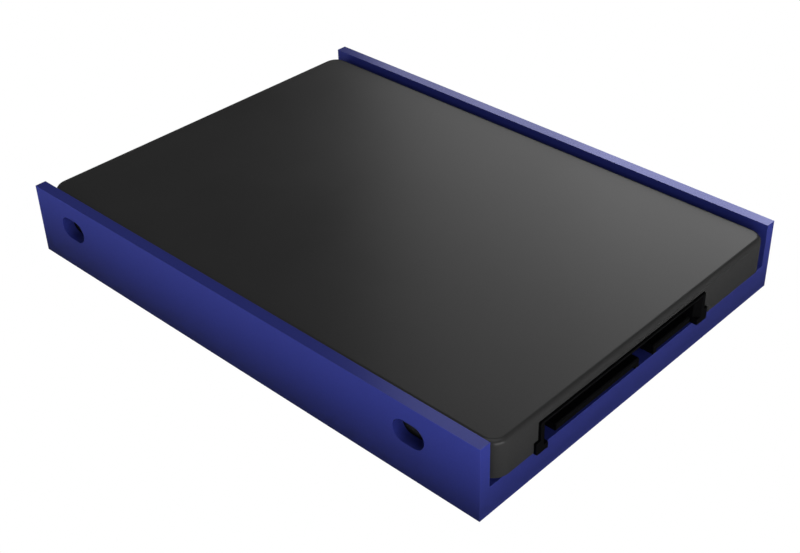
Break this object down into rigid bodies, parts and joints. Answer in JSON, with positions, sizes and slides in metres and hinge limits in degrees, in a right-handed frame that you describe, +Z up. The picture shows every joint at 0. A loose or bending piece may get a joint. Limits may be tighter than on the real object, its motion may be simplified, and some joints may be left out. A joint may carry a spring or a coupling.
{
  "type": "drive tray with solid-state drive",
  "caption": "Open-ended U-shaped metal tray with slotted side walls, holding a flat 2.5 inch solid-state drive whose power and data plug faces one open end.",
  "frame": {"origin": "centre of the tray's flat underside", "axes": "+Z up out of the open top, -Y towards the open end with the drive's plug, +X to the right seen from that end"},
  "size_m": [0.0738, 0.1013, 0.013],
  "materials": {
    "tray_blue": "satin blue anodised",
    "case_grey": "fine-blasted dark grey",
    "plate_grey": "fine-blasted dark grey",
    "label_white": "blank satin label",
    "screw_black": "black oxide",
    "board_green": "solder mask",
    "screw_steel": "plated steel",
    "connector_black": "moulded nylon",
    "contact_gold": "gold plated",
    "peg_tin": "tinned",
    "chip_black": "moulded epoxy",
    "crystal_metal": "plain metal lid",
    "inductor_grey": "ferrite",
    "tantalum_yellow": "moulded epoxy",
    "ceramic_tan": "ceramic",
    "pad_blue": "soft gap pad"
  },
  "bodies": {
    "tray": {"tray": "tray_blue"},
    "drive": {"drive_case": "case_grey", "drive_base_plate": "plate_grey", "base_label": "label_white", "case_screws": "screw_black", "circuit_board": "board_green", "board_screws": "screw_steel", "connector_housing": "connector_black", "power_contacts": "contact_gold", "signal_contacts": "contact_gold", "connector_pegs": "peg_tin", "controller_chip": "chip_black", "memory_chip": "chip_black", "power_regulator": "chip_black", "clock_crystal": "crystal_metal", "flash_chip_1": "chip_black", "flash_chip_2": "chip_black", "flash_chip_3": "chip_black", "flash_chip_4": "chip_black", "power_inductors": "inductor_grey", "tantalum_capacitors": "tantalum_yellow", "ceramic_capacitors": "ceramic_tan", "controller_thermal_pad": "pad_blue", "flash_thermal_pads": "pad_blue"}
  },
  "joints": [
    {"name": "drive_lift", "type": "slide", "parent": "tray", "child": "drive", "axis": [0, 0, 1], "range_m": [0, 0.03]}
  ]
}
